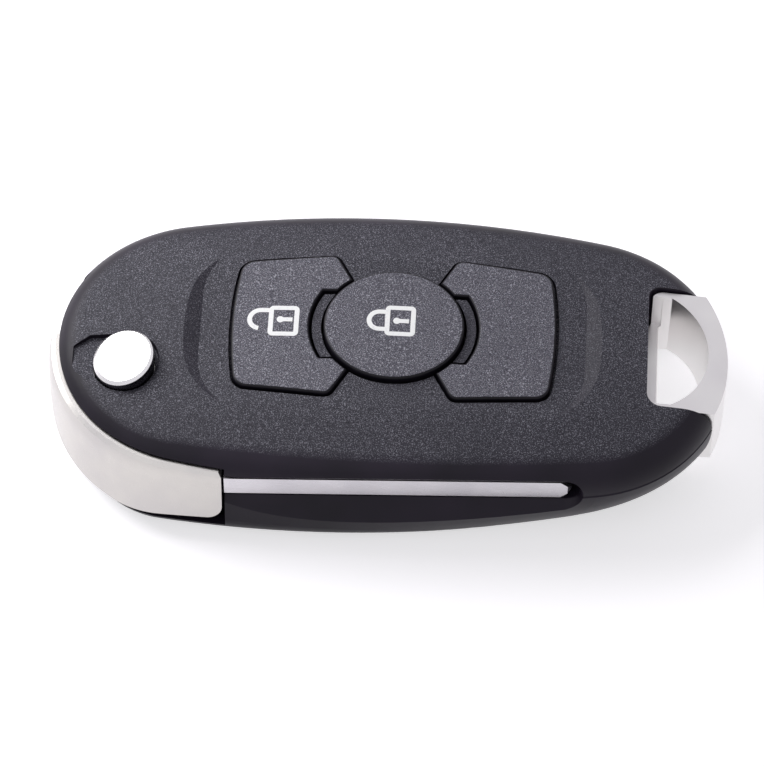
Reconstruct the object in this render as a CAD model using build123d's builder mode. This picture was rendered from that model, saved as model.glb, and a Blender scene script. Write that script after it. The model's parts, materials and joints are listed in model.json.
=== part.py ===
from build123d import *
import math
import os

# Flip key fob lying on its back: +X runs to the key ring, the blade side is -Y, +Z is up.
# The origin is under the middle of the whole fob, on the surface that it lies on. Millimetres.

# Case
case_length = 77.7
case_width = 37.6
case_side_bulge = 1.7
parting_z = 8.7
crown_z = 15.6
crown_across_radius = 60.0
crown_along_radius = 236.0
wall_draft = 7.0
shoulder_radius = 4.0
joint_angle = 19.0
foot_depth = 2.0
foot_head_inset = 0.5
foot_tail_inset = 0.9
foot_flare = 1.3
foot_side_radius = 146.0
foot_head_radius = 34.4
foot_corner_radius = 7.7
base_radius = 2.6
base_flat_end = 5.0
base_rise_radius = 172.0
wall = 1.4
parting_groove = 0.18
running_gap = 0.3

# Flip head, its chrome band and the pivot
pivot_inset = 8.7
pivot_side = 14.1
head_bottom = 2.4
head_rise = 1.6
head_top = 11.0
head_disc_radius = 11.9
head_end = 12.0
head_corner_radius = 2.0
mouth_reach = 13.7
flare_reach = 13.9
flare_mouth = 15.6
band_bulge = 0.5
band_thickness = 0.9
band_bevel = 0.35
band_far_end = 5.2
hub_bore = 8.6
hub_post = 8.4
hub_post_bore = 6.3
hub_post_top = 5.0

# Blade
blade_inset = 1.1
blade_middle = 8.75
blade_width = 9.0
blade_thickness = 3.0
blade_tip_inset = 17.3
blade_angle = 2.1
blade_tip_length = 0.5
blade_tip_width = 8.0
blade_tip_bevel = 1.3
blade_tip_edge = 0.4
blade_groove_start = 3.0
blade_groove_width = 2.6
blade_groove_depth = 0.7
tang_width = 5.0
tang_length = 7.5
tang_inset = 0.8
pin_diameter = 2.0
pin_slit = 0.4
slot_gap = 0.25
slot_end_gap = 1.0
slot_wall = 0.8
mouth_depth = 3.0
mouth_brow = 61.0
mouth_sill_head = 60.0
mouth_sill_tail = 46.0
mouth_end = 0.8
mouth_wall = 3.0
mouth_wall_drop = 3.4
bay_overrun = 8.0

# Release button and its spring
release_diameter = 6.9
release_skirt = 8.2
release_skirt_bottom = 9.3
release_top_z = 14.8
release_slant_x = 14.0
release_slant_y = 8.0
release_stem = 3.4
release_travel = 1.6
release_recess = 8.2
release_recess_floor = 13.0
release_bevel = 0.35
scoop_floor = 12.75
scoop_tilt = 4.0
scoop_corners = [(1.0, 3.9), (-4.1, 3.8), (-6.0, 2.5), (-6.0, -0.4), (-4.1, -2.2), (1.0, -1.1)]
spring_wire = 0.8
spring_diameter = 5.8
spring_pitch = 1.4

# Keypad
keypad_x = 0.7
keypad_y = 0.8
field_depth = 0.85
field_end_margin = 17.6
field_width = 19.4
field_corner = 5.5
field_slope = 70.0
field_wall = 1.0
pad_end_margin = 2.65
pad_end_bow = 0.8
pad_corner_y = 8.5
pad_inner_step = 1.05
pad_inner_y = 9.5
pad_corner_radius = 1.8
pad_inner_radius = 1.1
pad_proud = 0.45
lock_half_length = 8.05
lock_half_width = 7.35
lock_proud = 0.75
rib_width = 1.05
rib_half_height = 4.3
button_gap = 0.3
button_lip = 0.9
button_bottom = 11.95
button_travel = 0.6
button_skin = 1.3
button_edge = 0.3
nib_diameter = 3.0

# Electronics stack, from the cell up to the keypad frame
seat_gap = 0.05
board_bottom = 7.5
board_thickness = 1.0
board_left_margin = 3.1
board_right_margin = -1.6
board_side = 12.1
board_corner = 2.0
board_post_inset = 3.1
board_post_far = 9.6
board_post_diameter = 2.6
cell_diameter = 20.0
cell_thickness = 3.2
cell_x = 4.8
cell_side = 14.3
cell_bottom = 2.9
cell_rim = 1.3
cell_edge = 0.4
cell_gap = 0.2
cradle_wall = 0.9
cradle_rise = 1.9
cradle_seat = 2.0
clip_thickness = 0.3
clip_width = 4.8
clip_foot = 1.0
switch_size = 4.2
switch_height = 1.3
plunger_diameter = 2.2
plunger_height = 0.3
mat_thickness = 0.35
mat_inset = 0.7
frame_thickness = 0.7
frame_inset = 0.4
frame_leg = 1.6
frame_leg_inset = 2.1
frame_leg_far = 8.0
chip_x = 8.0
chip_y = 6.4
chip_size = 5.0
chip_height = 0.9
chip_edge = 0.15
crystal_x = 8.0
crystal_y = -1.1
crystal_length = 3.2
crystal_width = 2.5
crystal_height = 0.8
coil_x = -11.6
coil_y = 4.0
coil_width = 2.4
coil_length = 7.4
coil_height = 2.6
coil_cheek_width = 3.4
coil_cheek = 1.0

# Key ring bow and the tail notch
notch_depth = 9.3
notch_y = 1.1
notch_width = 16.5
notch_corner = 1.6
bow_bottom = 2.2
bow_top = 12.3
bow_top_slope = 7.0
bow_hole_radius = 8.3
bow_hole_inset = 1.2
bow_lip = 0.7
bow_draft = 3.5
bow_neck_width = 9.6
bow_neck_bottom = 3.4
bow_neck_top = 6.6
bow_bar_width = 13.0
bow_bar_length = 1.6

# Case screws, driven from the back into bosses of the front cover
screw_diameter = 2.0
screw_head_diameter = 3.6
screw_head_height = 1.3
screw_top = 11.2
screw_sink = 0.3
screw_boss = 4.4
screw_head_boss = 5.6
screw_bore_gap = 0.1
cross_length = 2.2
cross_width = 0.5
cross_depth = 0.7
head_screw_inset = 18.0
head_screw_side = 6.2
tail_screw_inset = 6.1
tail_screw_y = 1.0

# Values worked out from the sizes above
case_x = band_bulge / 2
case_head_x = case_x - case_length / 2
case_tail_x = case_x + case_length / 2
case_end_radius = case_width / 2 - case_side_bulge
pivot_x = case_head_x + pivot_inset
pivot_y = pivot_side - case_width / 2
head_end_x = pivot_x + head_end
blade_edge_y = blade_inset - case_width / 2
blade_free_length = case_tail_x - blade_tip_inset - head_end_x
tang_y = blade_width - tang_inset - tang_width / 2
blade_shoulder = slot_gap + blade_width * math.tan(math.radians(blade_angle))
blade_bottom = blade_middle - blade_thickness / 2
blade_top = blade_middle + blade_thickness / 2
slot_bottom = blade_bottom - slot_gap
slot_top = blade_top + slot_gap
slot_roof = slot_top + slot_wall
bay_bottom = head_bottom - running_gap
bay_top = head_top + running_gap
pin_foot = head_bottom + head_rise + wall / 2
field_length = case_length - 2 * field_end_margin
pad_reach = field_length / 2 - pad_end_margin
pad_corner_x = pad_reach - pad_end_bow
pad_inner_x = lock_half_length - pad_inner_step
board_left = keypad_x - pad_reach + board_left_margin
board_right = keypad_x + pad_reach - board_right_margin
board_near = blade_edge_y + board_side
board_top = board_bottom + board_thickness
plunger_top = board_top + switch_height + plunger_height
mat_bottom = plunger_top + seat_gap
frame_bottom = mat_bottom + mat_thickness
nib_bottom = frame_bottom + button_travel + seat_gap
cell_y = case_width / 2 - cell_side
cell_top = cell_bottom + cell_thickness
spring_foot = wall + seat_gap + spring_wire / 2
spring_height = release_skirt_bottom - seat_gap - spring_wire / 2 - spring_foot
floor_arc_radius = crown_along_radius - field_depth
lip_reach = button_gap + button_lip
notch_x = case_tail_x - notch_depth
bow_hole_x = notch_x - bow_hole_inset
head_screw_x = case_head_x + head_screw_inset
head_screw_y = case_width / 2 - head_screw_side
tail_screw_x = notch_x - tail_screw_inset
far_out = 60.0


def arc_middle(centre, radius, start, end):
    """The point halfway along an arc between two of its points."""
    lean_x = start[0] + end[0] - 2 * centre[0]
    lean_y = start[1] + end[1] - 2 * centre[1]
    share = radius / math.hypot(lean_x, lean_y)
    return centre[0] + lean_x * share, centre[1] + lean_y * share


def mirrored(point):
    """The same place on the other side of the fob's middle line."""
    return point[0], -point[1]


def oval(left, right, half_width, side_radius, head_radius, head_angle, corner_radius):
    """An oval plan of six tangent arcs: the head end, its two corners, two like sides and the tail."""
    head_x = left + head_radius
    corner_x = head_x - (head_radius - corner_radius) * math.cos(head_angle)
    corner_y = (head_radius - corner_radius) * math.sin(head_angle)
    spare = half_width - corner_y - corner_radius
    side_x = corner_x + math.sqrt(abs(2 * spare * (side_radius - corner_radius) - spare**2))
    side_y = half_width - side_radius
    span = right - side_x
    tail_radius = (span**2 + side_y**2 - side_radius**2) / (2 * (span - side_radius))
    tail_x = right - tail_radius
    corner_share = corner_radius / (side_radius - corner_radius)
    tail_share = tail_radius / (side_radius - tail_radius)
    head_joint = (head_x - head_radius * math.cos(head_angle), head_radius * math.sin(head_angle))
    side_joint_x = corner_x + (corner_x - side_x) * corner_share
    side_joint_y = corner_y + (corner_y - side_y) * corner_share
    side_joint = (side_joint_x, side_joint_y)
    tail_joint = (tail_x + (tail_x - side_x) * tail_share, -side_y * tail_share)
    side_middle = arc_middle((side_x, side_y), side_radius, tail_joint, side_joint)
    corner_middle = arc_middle((corner_x, corner_y), corner_radius, side_joint, head_joint)
    with BuildSketch() as outline:
        with BuildLine():
            ThreePointArc(tail_joint, side_middle, side_joint)
            ThreePointArc(side_joint, corner_middle, head_joint)
            ThreePointArc(head_joint, (left, 0), mirrored(head_joint))
            ThreePointArc(mirrored(head_joint), mirrored(corner_middle), mirrored(side_joint))
            ThreePointArc(mirrored(side_joint), mirrored(side_middle), mirrored(tail_joint))
            ThreePointArc(mirrored(tail_joint), (right, 0), tail_joint)
        make_face()
    return outline.sketch


def case_outline(grow):
    """The oval plan of the case at the parting line, grown or inset in parallel."""
    span = case_length / 2 - case_end_radius
    side_radius = (span**2 / case_side_bulge + case_end_radius + case_width / 2) / 2
    half_width = case_width / 2 + grow
    radius = case_end_radius + grow
    angle = math.radians(joint_angle)
    return oval(case_head_x - grow, case_tail_x + grow, half_width, side_radius + grow, radius, angle, radius)


def foot_outline(grow):
    """The plan that the lower wall is drawn towards: widest at the squarer corners of the head."""
    half_width = case_width / 2 + foot_flare
    rise = (half_width - foot_corner_radius) / (foot_head_radius - foot_corner_radius)
    return oval(
        case_head_x + foot_head_inset - grow,
        case_tail_x - foot_tail_inset + grow,
        half_width + grow,
        foot_side_radius + grow,
        foot_head_radius + grow,
        math.asin(rise),
        foot_corner_radius + grow,
    )


def under_arc(radius):
    """Everything below a roof that is curved along the fob only, concentric with the crown."""
    top = crown_z - crown_along_radius + radius
    drop = radius - math.sqrt(radius**2 - far_out**2)
    with BuildPart() as region:
        with BuildSketch(Plane.XZ):
            with BuildLine():
                ThreePointArc((case_x - far_out, top - drop), (case_x, top), (case_x + far_out, top - drop))
                Polyline(
                    (case_x + far_out, top - drop),
                    (case_x + far_out, -far_out),
                    (case_x - far_out, -far_out),
                    (case_x - far_out, top - drop),
                )
            make_face()
        extrude(amount=far_out, both=True)
    return region.part


def upper_form(grow):
    """Upper half of the case: drafted wall, crown curved both ways, rolled shoulder."""
    axis_z = crown_z - crown_across_radius
    girth = crown_across_radius + grow
    along = crown_along_radius + grow
    drop = along - math.sqrt(along**2 - far_out**2)
    with BuildPart() as form:
        with BuildSketch(Plane.XY.offset(parting_z)):
            add(case_outline(grow))
        extrude(amount=crown_z - parting_z + 2, taper=wall_draft)
        with BuildSketch(Plane.XZ):
            with BuildLine():
                ThreePointArc(
                    (case_x - far_out, axis_z - girth + drop),
                    (case_x, axis_z - girth),
                    (case_x + far_out, axis_z - girth + drop),
                )
                Polyline(
                    (case_x + far_out, axis_z - girth + drop),
                    (case_x + far_out, axis_z),
                    (case_x - far_out, axis_z),
                    (case_x - far_out, axis_z - girth + drop),
                )
            make_face()
        revolve(axis=Axis((0, 0, axis_z), (1, 0, 0)), mode=Mode.INTERSECT)
        rim = form.faces().sort_by(Axis.Z)[-1].edges()
        fillet(rim, radius=shoulder_radius + grow)
    return form.part


def lower_form(grow):
    """Lower half: a wall that runs on from the upper one and flares to the head, and the base."""
    base_z = -grow
    lead_inset = shoulder_radius * math.tan(math.radians(wall_draft))
    rise_x = case_x + far_out
    rise_z = base_z + base_rise_radius - math.sqrt(base_rise_radius**2 - (rise_x - base_flat_end) ** 2)
    middle_x = (base_flat_end + rise_x) / 2
    middle_z = base_z + base_rise_radius - math.sqrt(base_rise_radius**2 - (middle_x - base_flat_end) ** 2)
    with BuildPart() as form:
        with BuildSketch(Plane.XY.offset(parting_z + shoulder_radius)):
            add(case_outline(grow - lead_inset))
        with BuildSketch(Plane.XY.offset(parting_z)):
            add(case_outline(grow))
        with BuildSketch(Plane.XY.offset(-foot_depth)):
            add(foot_outline(grow))
        loft()
        with BuildSketch(Plane.XZ):
            with BuildLine():
                Line((case_x - far_out, base_z), (base_flat_end, base_z))
                ThreePointArc((base_flat_end, base_z), (middle_x, middle_z), (rise_x, rise_z))
                Polyline(
                    (rise_x, rise_z),
                    (rise_x, far_out),
                    (case_x - far_out, far_out),
                    (case_x - far_out, base_z),
                )
            make_face()
        extrude(amount=far_out, both=True, mode=Mode.INTERSECT)
        split(bisect_by=Plane.XY.offset(parting_z), keep=Keep.BOTTOM)
        under = form.faces().sort_by(Axis.Z)[:2].edges().filter_by(GeomType.LINE, reverse=True)
        fillet(under, radius=base_radius + grow)
    return form.part


def base_height(x):
    """Height of the outside of the base under a place along the fob."""
    return base_rise_radius - math.sqrt(base_rise_radius**2 - max(0, x - base_flat_end) ** 2)


def pillar(sketch, bottom, top):
    """A plan carried straight up from one height to another."""
    with BuildPart() as post:
        with BuildSketch(Plane.XY.offset(bottom)):
            add(sketch)
        extrude(amount=top - bottom)
    return post.part


def disc(x, y, diameter):
    """A round plan at a place."""
    with BuildSketch() as plan:
        with Locations((x, y)):
            Circle(diameter / 2)
    return plan.sketch


def block_plan(left, right, near, far):
    """A rectangular plan between two places along and two places across the fob."""
    with BuildSketch() as plan:
        with Locations((left, near)):
            Rectangle(right - left, far - near, align=(Align.MIN, Align.MIN))
    return plan.sketch


def bay_plan(grow, radius, mouth):
    """Plan of the room that the flip head turns in: a disc, the near side and the far mouth."""
    reach = head_end + running_gap + grow
    with BuildSketch() as plan:
        add(disc(pivot_x, pivot_y, 2 * (radius + running_gap + grow)))
        add(block_plan(-far_out, pivot_x + reach, -far_out, pivot_y))
        add(block_plan(-far_out, pivot_x, pivot_y - 1, pivot_y + mouth + grow))
    return plan.sketch


def head_plan():
    """Plan of the flip head: a disc about the pivot, its flared side and the corner at the blade."""
    with BuildSketch() as plan:
        add(disc(pivot_x, pivot_y, 2 * flare_reach))
        add(block_plan(-far_out, far_out, -far_out, pivot_y), mode=Mode.INTERSECT)
        add(disc(pivot_x, pivot_y, 2 * head_disc_radius))
        add(block_plan(pivot_x, head_end_x, -far_out, pivot_y))
    return plan.sketch


def head_block(form):
    """What a form of the case leaves of the flip head, between its top and bottom faces."""
    with BuildPart() as block:
        add(form)
        add(pillar(head_plan(), head_bottom, head_top), mode=Mode.INTERSECT)
        with BuildSketch(Plane.XZ) as side:
            with BuildLine():
                Polyline(
                    (case_head_x - 1, head_bottom),
                    (head_end_x, head_bottom + head_rise),
                    (head_end_x, far_out),
                    (case_head_x - 1, far_out),
                    close=True,
                )
            make_face()
            fillet(max(side.vertices(), key=lambda v: v.X - v.Y), radius=head_corner_radius)
        extrude(amount=far_out, both=True, mode=Mode.INTERSECT)
    return block.part


def blade_plane(height):
    """Plane of the blade's plan, with its origin at the outer edge where it leaves the head."""
    turn = math.radians(blade_angle)
    return Plane((head_end_x, blade_edge_y, height), x_dir=(math.cos(turn), math.sin(turn), 0))


def blade_side_plane(outward):
    """Upright plane along the blade's outer edge, at mid blade, facing away from the fob."""
    turn = math.radians(blade_angle)
    outside = (math.sin(turn), -math.cos(turn), 0)
    origin = Vector(head_end_x, blade_edge_y, blade_middle) + Vector(*outside) * outward
    return Plane(origin, x_dir=(math.cos(turn), math.sin(turn), 0), z_dir=outside)


def blade_bay():
    """Room for the folded blade, open to the near side and round at its tail end."""
    height = slot_top - slot_bottom
    round_x = blade_free_length + slot_end_gap - height / 2
    with BuildPart() as room:
        with BuildSketch(blade_side_plane(bay_overrun)):
            with Locations((-1, 0)):
                Rectangle(round_x + 1, height, align=(Align.MIN, Align.CENTER))
            with Locations((round_x, 0)):
                Circle(height / 2)
        extrude(amount=-(bay_overrun + blade_width + slot_gap))
    return room.part


def blade_mouth():
    """Flare round the blade slot: steep above, so the blade's whole edge shows, and deepest at the head."""
    half = (slot_top - slot_bottom) / 2
    round_x = blade_free_length + slot_end_gap - half
    with BuildPart() as flare:
        for out in (0, mouth_depth):
            brow = half + out * math.tan(math.radians(mouth_brow))
            sill_head = -half - out * math.tan(math.radians(mouth_sill_head))
            sill_tail = -half - out * math.tan(math.radians(mouth_sill_tail))
            end = round_x + half + mouth_end * out / mouth_depth
            with BuildSketch(blade_side_plane(out)):
                with BuildLine():
                    Polyline(
                        (round_x, sill_tail),
                        (running_gap, sill_head),
                        (running_gap, brow),
                        (round_x, brow),
                    )
                    ThreePointArc((round_x, brow), (end, 0), (round_x, sill_tail))
                make_face()
        loft()
    return flare.part


def blade_bay_walls():
    """The block of plastic round the folded blade, from its roof to its floor."""
    end = 1 + blade_free_length + slot_end_gap + slot_wall
    with BuildPart() as block:
        with BuildSketch(blade_plane(slot_bottom - slot_wall)):
            with Locations((-1, -bay_overrun)):
                across = bay_overrun + blade_width + slot_gap + slot_wall
                Rectangle(end, across, align=(Align.MIN, Align.MIN))
        extrude(amount=slot_roof - slot_bottom + slot_wall)
    return block.part


def notch_plan(grow):
    """Plan of the notch in the tail that the key ring bow stands in."""
    half = notch_width / 2 + grow
    with BuildSketch() as plan:
        with Locations((notch_x - grow, notch_y)):
            Rectangle(far_out, 2 * half, align=(Align.MIN, Align.CENTER))
        fillet(plan.vertices().group_by(Axis.X)[0], radius=notch_corner + grow)
    return plan.sketch


def bow_hole_plan(foot):
    """Plan of the hole in the bow: a round end, straight sides and a flat foot at the case."""
    half = notch_width / 2 - slot_gap - bow_lip
    with BuildSketch() as plan:
        add(disc(bow_hole_x, notch_y, 2 * bow_hole_radius))
        add(block_plan(foot, far_out, notch_y - half, notch_y + half), mode=Mode.INTERSECT)
        fillet(plan.vertices().group_by(Axis.X)[0], radius=bow_lip)
    return plan.sketch


def ring_band(outer, inner):
    """Plan between two parallel ovals of the case outline, on the near side only."""
    with BuildSketch() as plan:
        add(case_outline(outer))
        add(case_outline(inner), mode=Mode.SUBTRACT)
        add(block_plan(-far_out, far_out, -far_out, -case_width / 4), mode=Mode.INTERSECT)
    return plan.sketch


def pad_outline(side, grow):
    """Outline of one side pad before the lock button is taken out of it, grown in parallel."""
    hidden = lock_half_width / 2
    corners = [(pad_corner_x, pad_corner_y), (pad_inner_x, pad_inner_y), (hidden, hidden)]
    top = [(keypad_x + side * x, keypad_y + y) for x, y in corners]
    foot = [(keypad_x + side * x, keypad_y - y) for x, y in corners]
    with BuildSketch() as outline:
        with BuildLine():
            ThreePointArc(foot[0], (keypad_x + side * pad_reach, keypad_y), top[0])
            Polyline(top[0], top[1], top[2], foot[2], foot[1], foot[0])
        make_face()
        outer = outline.vertices().group_by(Axis.X)[-1 if side > 0 else 0]
        fillet(outer, radius=pad_corner_radius)
        inner = [v for v in outline.vertices() if abs(abs(v.Y - keypad_y) - pad_inner_y) < 0.01]
        fillet(inner, radius=pad_inner_radius)
        if grow:
            offset(amount=grow)
    return outline.sketch


def lock_oval(grow):
    """The lock button's oval, grown for gaps and ribs."""
    with BuildSketch() as oval:
        with Locations((keypad_x, keypad_y)):
            Ellipse(lock_half_length + grow, lock_half_width + grow)
    return oval.sketch


def rib_plan(grow):
    """The two crescent ribs beside the lock button, or the notches that they stand in."""
    with BuildSketch() as ribs:
        add(lock_oval(button_gap + rib_width + grow))
        add(lock_oval(button_gap - grow), mode=Mode.SUBTRACT)
        with Locations((keypad_x, keypad_y)):
            Rectangle(far_out, 2 * (rib_half_height + grow), mode=Mode.INTERSECT)
    return ribs.sketch


def keypad_opening():
    """The one opening that holds both pads, the lock button and the ribs."""
    with BuildSketch() as opening:
        add(pad_outline(1, button_gap))
        add(pad_outline(-1, button_gap))
        add(lock_oval(button_gap))
    return opening.sketch


def pad_plan(side, grow, clearance):
    """A side pad, its lip or its pocket, clear of the lock button and the crescent rib."""
    with BuildSketch() as plan:
        add(pad_outline(side, grow))
        add(lock_oval(clearance), mode=Mode.SUBTRACT)
        add(rib_plan(clearance), mode=Mode.SUBTRACT)
    return plan.sketch


def lock_lip_plan():
    """The lock button with the lips that catch under the cover between the pads."""
    with BuildSketch() as plan:
        add(lock_oval(lip_reach))
        add(pad_outline(1, lip_reach + button_gap), mode=Mode.SUBTRACT)
        add(pad_outline(-1, lip_reach + button_gap), mode=Mode.SUBTRACT)
        add(rib_plan(button_gap), mode=Mode.SUBTRACT)
        add(lock_oval(0))
    return plan.sketch


def button(cap_plan, lip_plan, pocket_plan, proud, nib):
    """A hollow button: curved cap, lip that catches under the cover, pocket and nib inside."""
    with BuildPart() as lips:
        add(pillar(lip_plan, button_bottom, crown_z))
        add(under_arc(floor_arc_radius - field_wall - running_gap / 2), mode=Mode.INTERSECT)
        add(lip_ceiling, mode=Mode.INTERSECT)
    with BuildPart() as pocket:
        add(pillar(pocket_plan, button_bottom - button_skin, crown_z))
        add(under_arc(floor_arc_radius + proud - button_skin), mode=Mode.INTERSECT)
    with BuildPart() as cap:
        add(pillar(cap_plan, button_bottom, crown_z + button_skin))
        add(under_arc(floor_arc_radius + proud), mode=Mode.INTERSECT)
        fillet(cap.faces().sort_by(Axis.Z)[-1].edges(), radius=button_edge)
        add(lips.part)
        add(pocket.part, mode=Mode.SUBTRACT)
        add(pillar(disc(nib[0], nib[1], nib_diameter), nib_bottom, crown_z - button_skin))
    return cap.part


def pad_button(side, nib):
    """The button on one side of the lock button."""
    cap_plan = pad_plan(side, 0, button_gap)
    lip_plan = pad_plan(side, lip_reach, button_gap)
    pocket_plan = pad_plan(side, -button_skin, button_gap + button_skin)
    return button(cap_plan, lip_plan, pocket_plan, pad_proud, nib)


def neck_plan(left, right, gap=0):
    """Plan of the bow's neck between two places, or of a slot with a gap at each side of it."""
    half = bow_neck_width / 2 + gap
    return block_plan(left, right, notch_y - half, notch_y + half)


def push_switch(x, y):
    """A square surface-mounted push switch with a round plunger."""
    with BuildPart() as switch:
        with BuildSketch(Plane.XY.offset(board_top)):
            with Locations((x, y)):
                RectangleRounded(switch_size, switch_size, switch_size / 10)
        extrude(amount=switch_height)
        add(pillar(disc(x, y, plunger_diameter), board_top + switch_height, plunger_top))
    return switch.part


def case_screw(x, y):
    """A pan-headed screw, with a cross recess, driven up from the back."""
    head_foot = base_height(x) + screw_sink
    with BuildPart() as screw:
        add(pillar(disc(x, y, screw_head_diameter), head_foot, head_foot + screw_head_height))
        add(pillar(disc(x, y, screw_diameter), head_foot, screw_top))
        with BuildSketch(Plane.XY.offset(head_foot)):
            with Locations((x, y)):
                Rectangle(cross_length, cross_width)
                Rectangle(cross_width, cross_length)
        extrude(amount=cross_depth, mode=Mode.SUBTRACT)
    return screw.part


nib_spread = (pad_reach + lock_half_length) / 2
unlock_nib = (keypad_x - nib_spread, keypad_y)
lock_nib = (keypad_x, keypad_y)
blank_nib = (keypad_x + nib_spread, keypad_y)
nibs = [unlock_nib, lock_nib, blank_nib]
screws = [(head_screw_x, head_screw_y), (tail_screw_x, tail_screw_y)]
post_left = board_left + board_post_inset
post_right = board_right - board_post_inset
post_near = board_near + board_post_inset
board_posts = [(x, y) for x in (post_left, post_right) for y in (post_near, board_post_far)]
leg_left = board_left + frame_leg_inset
leg_right = board_right - frame_leg_inset
leg_near = board_near + frame_leg
frame_legs = [(x, y) for x in (leg_left, leg_right) for y in (leg_near, frame_leg_far)]
upper_skin = upper_form(0)
lower_skin = lower_form(0)
head_skin_in = band_bulge - band_thickness
lip_ceiling = upper_form(-wall - running_gap / 2)

# Front cover: thin crowned shell with the sunken keypad field
front_ribs = [
    (disc(pivot_x, pivot_y, release_recess + 2 * wall), parting_z, crown_z),
    (disc(head_screw_x, head_screw_y, screw_boss), parting_z, crown_z),
    (disc(tail_screw_x, tail_screw_y, screw_boss), parting_z, crown_z),
    (notch_plan(wall), parting_z, crown_z),
]
with BuildPart() as front_room:
    add(upper_form(-wall))
    add(under_arc(floor_arc_radius - field_wall), mode=Mode.INTERSECT)
    for rib_sketch, rib_foot, rib_head in front_ribs:
        add(pillar(rib_sketch, rib_foot, rib_head), mode=Mode.SUBTRACT)
    with BuildSketch(Plane.XY.offset(parting_z)) as partition:
        add(bay_plan(slot_wall, head_disc_radius, mouth_reach))
        add(bay_plan(0, head_disc_radius, mouth_reach), mode=Mode.SUBTRACT)
    extrude(amount=slot_roof - parting_z, mode=Mode.SUBTRACT)
    add(blade_bay_walls(), mode=Mode.SUBTRACT)
    add(pillar(ring_band(bay_overrun, -mouth_wall), parting_z, slot_roof + slot_wall), mode=Mode.SUBTRACT)

with BuildPart() as keypad_field:
    with BuildSketch(Plane.XY.offset(crown_z - 2 * field_depth - field_wall / 2)):
        with Locations((keypad_x, keypad_y)):
            RectangleRounded(field_length, field_width, field_corner)
    extrude(amount=2 * field_depth + 1, taper=-field_slope)
    add(under_arc(floor_arc_radius), mode=Mode.SUBTRACT)

with BuildPart() as thumb_scoop:
    with BuildSketch(Plane((pivot_x, pivot_y, scoop_floor)).rotated((0, -scoop_tilt, 0))):
        with BuildLine():
            Polyline(*scoop_corners, close=True)
        make_face()
    extrude(amount=crown_z - scoop_floor)

with BuildPart() as front_cover:
    add(upper_skin)
    parting_rim = front_cover.faces().sort_by(Axis.Z)[0].edges()
    chamfer(parting_rim, length=parting_groove)
    add(front_room.part, mode=Mode.SUBTRACT)
    add(keypad_field.part, mode=Mode.SUBTRACT)
    add(thumb_scoop.part, mode=Mode.SUBTRACT)
    add(pillar(keypad_opening(), slot_roof, crown_z + 1), mode=Mode.SUBTRACT)
    add(pillar(bay_plan(0, head_disc_radius, mouth_reach), parting_z - 1, bay_top), mode=Mode.SUBTRACT)
    add(blade_bay(), mode=Mode.SUBTRACT)
    add(blade_mouth(), mode=Mode.SUBTRACT)
    add(pillar(notch_plan(0), parting_z - 1, crown_z), mode=Mode.SUBTRACT)
    add(pillar(disc(pivot_x, pivot_y, release_recess), release_recess_floor, crown_z), mode=Mode.SUBTRACT)
    release_bore = disc(pivot_x, pivot_y, release_diameter + running_gap)
    add(pillar(release_bore, parting_z, crown_z), mode=Mode.SUBTRACT)
    for screw_x, screw_y in screws:
        screw_bore = disc(screw_x, screw_y, screw_diameter + screw_bore_gap)
        add(pillar(screw_bore, parting_z - 1, screw_top + screw_sink), mode=Mode.SUBTRACT)
    add(pillar(neck_plan(notch_x - wall, notch_x), bow_neck_top + slot_gap, parting_z + wall))
front_cover.part.label = "front_cover"

# Rear cover: tapered tray with a flat base, hub post, board posts and cell cradle
with BuildPart() as rear_room:
    add(lower_form(-wall))
    with BuildSketch(Plane.XY) as rear_partition:
        add(bay_plan(slot_wall, flare_reach, flare_mouth))
        add(bay_plan(0, flare_reach, flare_mouth), mode=Mode.SUBTRACT)
    extrude(amount=parting_z, mode=Mode.SUBTRACT)
    add(blade_bay_walls(), mode=Mode.SUBTRACT)
    sill_wall = ring_band(bay_overrun, -mouth_wall)
    add(pillar(sill_wall, slot_bottom - mouth_wall_drop, parting_z), mode=Mode.SUBTRACT)
    add(pillar(notch_plan(wall), 0, parting_z), mode=Mode.SUBTRACT)
    for screw_x, screw_y in screws:
        add(pillar(disc(screw_x, screw_y, screw_head_boss), 0, parting_z), mode=Mode.SUBTRACT)
    for post_x, post_y in board_posts:
        add(pillar(disc(post_x, post_y, board_post_diameter), 0, board_bottom), mode=Mode.SUBTRACT)

with BuildPart() as cell_cradle:
    cradle = cell_diameter + 2 * cell_gap
    channel_half = clip_width / 2 + running_gap
    add(pillar(disc(cell_x, cell_y, cradle + 2 * cradle_wall), wall, cell_bottom + cradle_rise))
    add(pillar(disc(cell_x, cell_y, cradle), cell_bottom, cell_top), mode=Mode.SUBTRACT)
    add(pillar(disc(cell_x, cell_y, cradle - 2 * cradle_seat), wall, cell_top), mode=Mode.SUBTRACT)
    clip_channel = block_plan(cell_x - channel_half, cell_x + channel_half, cell_y, far_out)
    add(pillar(clip_channel, cell_bottom - clip_thickness - seat_gap, cell_top), mode=Mode.SUBTRACT)
    add(lower_form(-wall), mode=Mode.INTERSECT)

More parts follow.
